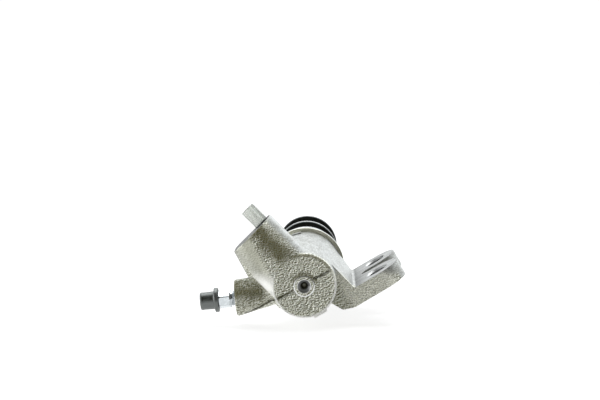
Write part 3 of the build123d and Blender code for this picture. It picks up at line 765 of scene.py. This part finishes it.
def mesh_object(name, points, faces, material, sharp=35.0):
    """A named mesh piece from points in metres, smooth except at its sharp edges."""
    mesh = bpy.data.meshes.new(name)
    mesh.from_pydata(points, [], faces)
    mesh.validate()
    mesh.polygons.foreach_set("use_smooth", [True] * len(mesh.polygons))
    mesh.set_sharp_from_angle(angle=math.radians(sharp))
    mesh.materials.append(material)
    made = bpy.data.objects.new(name, mesh)
    bpy.context.scene.collection.objects.link(made)
    return made


def ring_faces(first, second, count):
    """The faces between two rings of points, or between a ring and a single point."""
    faces = []
    for k in range(count):
        after = (k + 1) % count
        if first[1] == 1:
            faces.append((first[0], second[0] + after, second[0] + k))
        elif second[1] == 1:
            faces.append((first[0] + k, first[0] + after, second[0]))
        else:
            faces.append((first[0] + k, first[0] + after, second[0] + after, second[0] + k))
    return faces


def turned(line, start, direction, count=ROUND_SIDES, closed=False):
    """Points and faces turned round an axis from (radius, along) pairs.

    A radius may be a function of the angle.
    """
    axis, side, other = turn_frame(direction)
    points = []
    faces = []
    rings = []
    for radius, along in line:
        centre = Vector(start) + axis * along
        if not callable(radius) and radius < 1e-6:
            rings.append((len(points), 1))
            points.append(place(centre))
            continue
        rings.append((len(points), count))
        for k in range(count):
            angle = TURN * k / count
            r = radius(angle) if callable(radius) else radius
            out = side * math.cos(angle) + other * math.sin(angle)
            points.append(place(centre + out * r))
    pairs = list(zip(rings, rings[1:]))
    if closed:
        pairs.append((rings[-1], rings[0]))
    for first, second in pairs:
        faces += ring_faces(first, second, count)
    return points, faces


def softened(corners, closed=False, steps=CORNER_STEPS):
    """A line of (radius, along, round) corners with each corner rounded."""
    count = len(corners)
    line = []
    for k, (r, a, round_r) in enumerate(corners):
        here = Vector((r, a))
        if round_r <= 0 or (not closed and k in (0, count - 1)):
            line.append((r, a))
            continue
        before = Vector(corners[k - 1][:2]) - here
        after = Vector(corners[(k + 1) % count][:2]) - here
        half = before.angle(after) / 2
        most = 0.48 * min(before.length, after.length)
        reach = min(round_r / math.tan(half), most)
        first = here + before.normalized() * reach
        last = here + after.normalized() * reach
        for step in range(steps + 1):
            t = step / steps
            point = first * (1 - t) ** 2 + here * (2 * t * (1 - t)) + last * t ** 2
            line.append((point.x, point.y))
    return line


def tube(path, radius, sides=WIRE_SIDES):
    """A closed round tube along a list of points."""
    points = []
    faces = []
    up = UP
    last = len(path) - 1
    for k, centre in enumerate(path):
        ahead = (path[min(k + 1, last)] - path[max(k - 1, 0)]).normalized()
        up = (up - ahead * up.dot(ahead)).normalized()
        side = ahead.cross(up)
        for j in range(sides):
            angle = TURN * j / sides
            out = up * math.cos(angle) + side * math.sin(angle)
            points.append(place(centre + out * radius))
    for k in range(last):
        faces += ring_faces((k * sides, sides), ((k + 1) * sides, sides), sides)
    faces.append(tuple(reversed(range(sides))))
    faces.append(tuple(range(last * sides, (last + 1) * sides)))
    return points, faces


def hollow(start, end, rim_r, floor_r, wall, steps=HOLLOW_STEPS):
    """A round hollow between two crests, as (radius, along) points, moved inwards by a wall."""
    half = (end - start) / 2
    deep = rim_r - floor_r
    radius = (half ** 2 + deep ** 2) / (2 * deep) + wall
    centre_r = floor_r + radius - wall
    reach = math.asin(math.sqrt(radius ** 2 - (centre_r - rim_r + wall) ** 2) / radius)
    points = []
    for k in range(2 * steps + 1):
        angle = reach * (k / steps - 1)
        along = start + half + radius * math.sin(angle)
        points.append((centre_r - radius * math.cos(angle), along))
    return points


def boot_folds_line(wall):
    """The boot's hollows from collar to neck, as lists of points, moved inwards by a wall."""
    half = BOOT_CREST_WIDTH / 2
    first = LIP_END + BOOT_FIRST_CREST_AT
    start = MOUTH_END + BOOT_COLLAR_PAST + BOOT_WALL
    lines = [hollow(start, first - half, BOOT_CRESTS[0], BOOT_COLLAR_VALLEY, wall)]
    for k in range(BOOT_FOLDS - 1):
        share = k / (BOOT_FOLDS - 1)
        crest = BOOT_CRESTS[0] + (BOOT_CRESTS[1] - BOOT_CRESTS[0]) * share
        valley = BOOT_VALLEYS[0] + (BOOT_VALLEYS[1] - BOOT_VALLEYS[0]) * share
        start = first + BOOT_PITCH * k + half
        lines.append(hollow(start, start + BOOT_PITCH - 2 * half, crest, valley, wall))
    start = first + BOOT_PITCH * (BOOT_FOLDS - 1) + half
    last = hollow(start, 2 * NECK_FROM - start, BOOT_CRESTS[1], BOOT_NECK_R, wall)
    lines.append(last[: len(last) // 2 + 1])
    return lines


def boot():
    """The bellows boot: collar, three folds with narrow crests, and the neck on the push rod."""
    neck_to = NECK_FROM + BOOT_NECK_LEN
    groove_from = NECK_FROM + (BOOT_NECK_LEN - ROD_GROOVE_LEN) / 2 + 0.1
    groove_to = groove_from + ROD_GROOVE_LEN - 0.2
    collar_r = MOUTH_R + BOOT_WALL
    collar_to = MOUTH_END + BOOT_COLLAR_PAST
    corners = [(collar_r, LIP_END + BOOT_CLEAR, 0.4), (collar_r, collar_to, 0.7)]
    for line in boot_folds_line(0):
        ends = (0, len(line) - 1)
        rounds = [BOOT_CREST_ROUND if k in ends else 0 for k in range(len(line))]
        corners += [(r, a, round_r) for (r, a), round_r in zip(line, rounds)]
    corners += [(BOOT_NECK_R, neck_to, 0.6)]
    rod_clear = ROD_R + ROD_CLEAR
    groove_clear = ROD_GROOVE_R + ROD_CLEAR
    groove_r = GROOVE_R + BOOT_CLEAR
    mouth_r = MOUTH_R + BOOT_CLEAR
    inner = [
        (groove_r, LIP_END + BOOT_CLEAR, 0.2),
        (groove_r, GROOVE_END - BOOT_CLEAR, 0),
        (mouth_r, GROOVE_END - BOOT_CLEAR, 0),
        (mouth_r, collar_to, 0.3),
    ]
    for line in boot_folds_line(BOOT_WALL):
        inner += [(r, a, 0) for r, a in line]
    inner += [
        (rod_clear, NECK_FROM + BOOT_WALL, 0.4),
        (rod_clear, groove_from, 0),
        (groove_clear, groove_from, 0),
        (groove_clear, groove_to, 0),
        (rod_clear, groove_to, 0),
        (rod_clear, neck_to, 0.3),
    ]
    line = softened(corners + list(reversed(inner)), closed=True)
    return turned(line, BORE_START, BORE_WAY, BIG_ROUND_SIDES, closed=True)


def spring():
    """The conical return spring, with its end turns wound close."""
    path = []
    close = SPRING_CLOSE_TURNS
    wire = 2 * SPRING_WIRE_R
    lift = wire * SPRING_CLOSE_LEAD
    length = SPRING_TO - SPRING_FROM - 2 * lift
    for k in range(int(SPRING_TURNS * SPRING_STEPS) + 1):
        turn = k / SPRING_STEPS
        middle = min(max((turn - close) / (SPRING_TURNS - 2 * close), 0.0), 1.0)
        lead = min(turn, close) / close * lift
        tail = max(turn - SPRING_TURNS + close, 0.0) / close * lift
        along = SPRING_FROM + lead + middle * length + tail
        radius = SPRING_BIG_R + (SPRING_SMALL_R - SPRING_BIG_R) * middle
        angle = TURN * turn
        path.append(Vector((radius * math.cos(angle), along, radius * math.sin(angle))))
    return tube(path, SPRING_WIRE_R)


def hexagon(across, turn):
    """The radius of a hexagon with rounded corners at each angle."""
    flat = across / 2
    sixth = TURN / 6
    corner = (flat - HEX_CORNER_ROUND) / math.cos(sixth / 2)

    def radius(angle):
        local = abs((angle - turn) % sixth - sixth / 2)
        if local < math.atan(corner * math.sin(sixth / 2) / flat):
            return flat / math.cos(local)
        away = sixth / 2 - local
        across = corner * math.sin(away)
        return corner * math.cos(away) + math.sqrt(HEX_CORNER_ROUND ** 2 - across ** 2)
    return radius


def capped(shape, limit):
    """An outline cut off at a radius."""
    return lambda angle: min(shape(angle), limit)


def thread_line(root, crest, pitch, start, end, taper):
    """Rings of a screw thread whose height fades at both ends."""
    rings = []
    count = int((end - start) / pitch * THREAD_STEPS)
    for k in range(count + 1):
        along = start + (end - start) * k / count
        fade = min(1.0, (along - start) / taper, (end - along) / taper)

        def radius(angle, along=along, fade=fade):
            phase = (along / pitch + angle / TURN) % 1.0
            ridge = (1 - abs(2 * phase - 1) - THREAD_ROOT_SHARE) / THREAD_FLANK_SHARE
            ridge = min(max(ridge, 0.0), 1.0)
            return root + (crest - root) * ridge * fade
        rings.append((radius, along))
    return rings


def bleed_screw():
    """The bleed screw: coned point, cut thread, chamfered hexagon and barbed nipple."""
    root = BLEED_THREAD_R - THREAD_DEPTH
    hex_from = BLEED_THREAD_SHOW
    hex_to = hex_from + HEX_LEN + HEX_LONGER
    washer_to = hex_from + WASHER_LEN
    cone = BLEED_THREAD_R - BLEED_TIP_R
    tip = -BLEED_SHANK_IN - cone
    line = [(0, tip), (BLEED_TIP_R, tip), (root, -BLEED_SHANK_IN - 0.6)]
    line += thread_line(
        root, BLEED_THREAD_R, THREAD_PITCH, -BLEED_SHANK_IN, hex_from - 0.35, 0.5)
    flats = hexagon(HEX_ACROSS, HEX_TURN)
    corner_r = HEX_ACROSS / math.sqrt(3)
    line += [
        (root, hex_from - 0.3),
        (root, hex_from),
        (WASHER_R - 0.15, hex_from),
        (WASHER_R, hex_from + 0.12),
        (WASHER_R, washer_to - 0.12),
        (WASHER_R - 0.1, washer_to),
        (HEX_ACROSS / 2 - 0.05, washer_to),
        (capped(flats, corner_r), washer_to + 0.02),
    ]
    end_r = HEX_ACROSS / 2 - 0.25
    for k in range(CHAMFER_STEPS + 1):
        share = k / CHAMFER_STEPS
        limit = corner_r - (corner_r - end_r) * share
        line.append((capped(flats, limit), hex_to - HEX_CHAMFER * (1 - share)))
    end = hex_from + HEX_LEN + NIPPLE_LEN
    barb = end - NIPPLE_LEN / 2
    line += softened([
        (NIPPLE_NECK_R + 0.3, hex_to, 0),
        (NIPPLE_NECK_R, hex_to + 0.3, 0.2),
        (NIPPLE_NECK_R, barb, 0.2),
        (NIPPLE_HEAD_R, barb + 0.8, 0.3),
        (NIPPLE_NECK_R, end, 0.3),
        (SCREW_BORE_R, end, 0),
    ])
    line += [(SCREW_BORE_R, hex_from), (0, hex_from - 0.6)]
    return turned(line, BLEED_FACE, BLEED_OUT, THREAD_SIDES)


def bleed_cap():
    """The rubber cap: flange, waist and soft-edged body with a moulded rib."""
    start = BLEED_THREAD_SHOW + HEX_LEN + HEX_LONGER + CAP_GAP
    flange = start + CAP_FLANGE_LEN - HEX_LONGER
    end = flange + CAP_BODY_LEN
    hollow_r = NIPPLE_HEAD_R + 0.15
    line = softened([
        (hollow_r, start, 0),
        (CAP_FLANGE_R - 0.1, start, 0.45),
        (CAP_FLANGE_R, flange, 0.6),
        (CAP_BODY_R + 0.02, flange + 0.1, 0.5),
        (CAP_BODY_R - 0.12, end - 1.6, 0.6),
        (CAP_BODY_R, end - 1.1, 0.4),
        (CAP_BODY_R - 0.15, end, 1.0),
        (1.0, end, 0.3),
        (0.8, end - 0.25, 0.2),
        (0.0, end - 0.25, 0),
    ])
    line += [(0.0, end - CAP_WALL_END), (hollow_r, end - CAP_WALL_END), (hollow_r, start)]
    return turned(line, BLEED_FACE, BLEED_OUT)


def lip_band():
    """The rounded band round the barrel's mouth, a little proud of the lip."""
    line = softened([
        (LIP_CORE_R, BARREL_LEN - 0.03, 0),
        (LIP_BAND_R, BARREL_LEN - 0.03, LIP_BAND_ROUND),
        (LIP_BAND_R, LIP_END - 0.02, LIP_BAND_ROUND),
        (LIP_CORE_R, LIP_END - 0.02, 0),
    ], closed=True)
    return turned(line, BORE_START, BORE_WAY, BIG_ROUND_SIDES, closed=True)


def centre_collar():
    """The low raised ring round the turning centre in the closed end."""
    line = softened([
        (CENTRE_CONE_R - 0.05, CENTRE_FLOOR, 0),
        (CENTRE_CONE_R - 0.05, COLLAR_TOP, 0.25),
        (COLLAR_TOP_R, COLLAR_TOP, 0),
        (COLLAR_EDGE_R, COLLAR_EDGE, 0),
        (COLLAR_FOOT_R, COLLAR_FOOT, 0),
        (COLLAR_EDGE_R, CENTRE_FLOOR, 0),
    ], closed=True)
    return turned(line, BORE_START, BORE_WAY, closed=True)


def add_stage():
    """A wide white light table under the part."""
    material = bpy.data.materials.new("floor_white")
    tree = Tree(material)
    point = tree.add("ShaderNodeTexCoord").outputs["Object"]
    base = tree.mix(tree.fade(tree.noise(point, *FLOOR_NOISE), *NOISE_SPAN), *FLOOR_TONES)
    made = tree.shader(
        Base_Color=base, Roughness=0.9, Emission_Color=colour(1, 1, 1),
        Emission_Strength=FLOOR_GLOW)
    made.inputs["Specular IOR Level"].default_value = 0.0
    half = FLOOR_HALF
    corners = [(-half, -half, 0), (half, -half, 0), (half, half, 0), (-half, half, 0)]
    mesh = bpy.data.meshes.new("floor")
    mesh.from_pydata(corners, [], [(0, 1, 2, 3)])
    mesh.materials.append(material)
    floor = bpy.data.objects.new("floor", mesh)
    floor.location = (0, 0, place((0, 0, FLOOR_AT)).z)
    bpy.context.scene.collection.objects.link(floor)


def add_world():
    """A white studio all round, dimmer and warmer on the side the photograph was taken from."""
    world = bpy.data.worlds.new("studio")
    bpy.context.scene.world = world
    tree = Tree(world)
    direction = tree.add("ShaderNodeTexCoord").outputs["Generated"]
    split = tree.add("ShaderNodeSeparateXYZ", {0: direction}).outputs
    dim = tree.fade(tree.vector("DOT_PRODUCT", direction, DIM_TOWARDS), 0.12, 0.62)
    behind = tree.both(tree.fade(split[1], 0.55, 0.85), tree.fade(split[2], 0.28, 0.42, 1.0, 0.0))
    sky = tree.mix(tree.fade(split[2], 0.1, 0.95), SKY_LOW, SKY_HIGH)
    sky = tree.mix(behind, sky, SKY_BEHIND)
    studio = tree.mix(dim, sky, DIM_TONE)
    lit = tree.add("ShaderNodeBackground", {"Color": studio, "Strength": 1.0})
    white = tree.add("ShaderNodeBackground", {"Color": colour(1, 1, 1), "Strength": BACKDROP})
    seen = tree.add("ShaderNodeLightPath").outputs["Is Camera Ray"]
    both_ways = tree.add("ShaderNodeMixShader", {0: seen})
    tree.links.new(lit.outputs[0], both_ways.inputs[1])
    tree.links.new(white.outputs[0], both_ways.inputs[2])
    output = tree.nodes.new("ShaderNodeOutputWorld")
    tree.links.new(both_ways.outputs[0], output.inputs[0])


def add_light(name, at, aim, size, power):
    """A square soft light aimed at a point."""
    data = bpy.data.lights.new(name, "AREA")
    data.size = size
    data.energy = power
    light = bpy.data.objects.new(name, data)
    light.location = at
    light.rotation_euler = (Vector(aim) - Vector(at)).to_track_quat("-Z", "Y").to_euler()
    bpy.context.scene.collection.objects.link(light)


def dress(node, material):
    """A new finish on a solid that stays as it is."""
    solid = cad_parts[node]
    if not solid.material_slots:
        solid.data.materials.append(material)
    for slot in solid.material_slots:
        slot.material = material


add_camera()
add_stage()
add_world()
for light_name, settings in LIGHTS.items():
    add_light(light_name, **settings)
bpy.context.scene.view_settings.view_transform = "Standard"

cast = cast_material()
zinc = metal_material("zinc_steel", colour(0.65, 0.69, 0.71), colour(0.57, 0.61, 0.63), 0.22)
wire = metal_material("spring_steel", colour(0.50, 0.50, 0.50), colour(0.40, 0.40, 0.41), 0.32)
rod_steel = metal_material("rod_steel", colour(0.66, 0.66, 0.65), colour(0.57, 0.57, 0.57), 0.28)
turned_alloy = metal_material(
    "piston_aluminium", colour(0.80, 0.81, 0.82), colour(0.72, 0.73, 0.74), 0.26)
boot_rubber = rubber_material(
    "boot_rubber", colour(0.018, 0.019, 0.018), colour(0.009, 0.010, 0.009), 0.20, 1.4, True)
cap_rubber = rubber_material(
    "cap_rubber", colour(0.045, 0.049, 0.047), colour(0.018, 0.020, 0.018), 0.40, 2.2)
seal_rubber = rubber_material(
    "seal_rubber", colour(0.035, 0.035, 0.035), colour(0.02, 0.02, 0.02), 0.42)
plug_plastic = plug_material()

dress("cylinder_body", cast)
dress("transit_plug", plug_plastic)
dress("spring_seat", zinc)
dress("primary_cup", seal_rubber)
dress("rear_seal", seal_rubber)
dress("piston", turned_alloy)
dress("retaining_ring", wire)
dress("push_rod", rod_steel)

collar_piece = mesh_object("centre_collar", *centre_collar(), cast, 5.0)
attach(collar_piece, "cylinder")

lip_piece = mesh_object("lip_band", *lip_band(), cast)
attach(lip_piece, "cylinder")

screw_piece = mesh_object("bleed_screw_cut", *bleed_screw(), zinc)
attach(screw_piece, "bleed_screw")
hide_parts("bleed_screw")

cap_piece = mesh_object("bleed_cap_moulded", *bleed_cap(), cap_rubber)
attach(cap_piece, "bleed_cap")
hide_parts("bleed_cap")

boot_piece = mesh_object("dust_boot_moulded", *boot(), boot_rubber, 50.0)
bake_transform(boot_piece)
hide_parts("dust_boot")

spring_piece = mesh_object("return_spring_wound", *spring(), wire)
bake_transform(spring_piece)
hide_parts("return_spring")
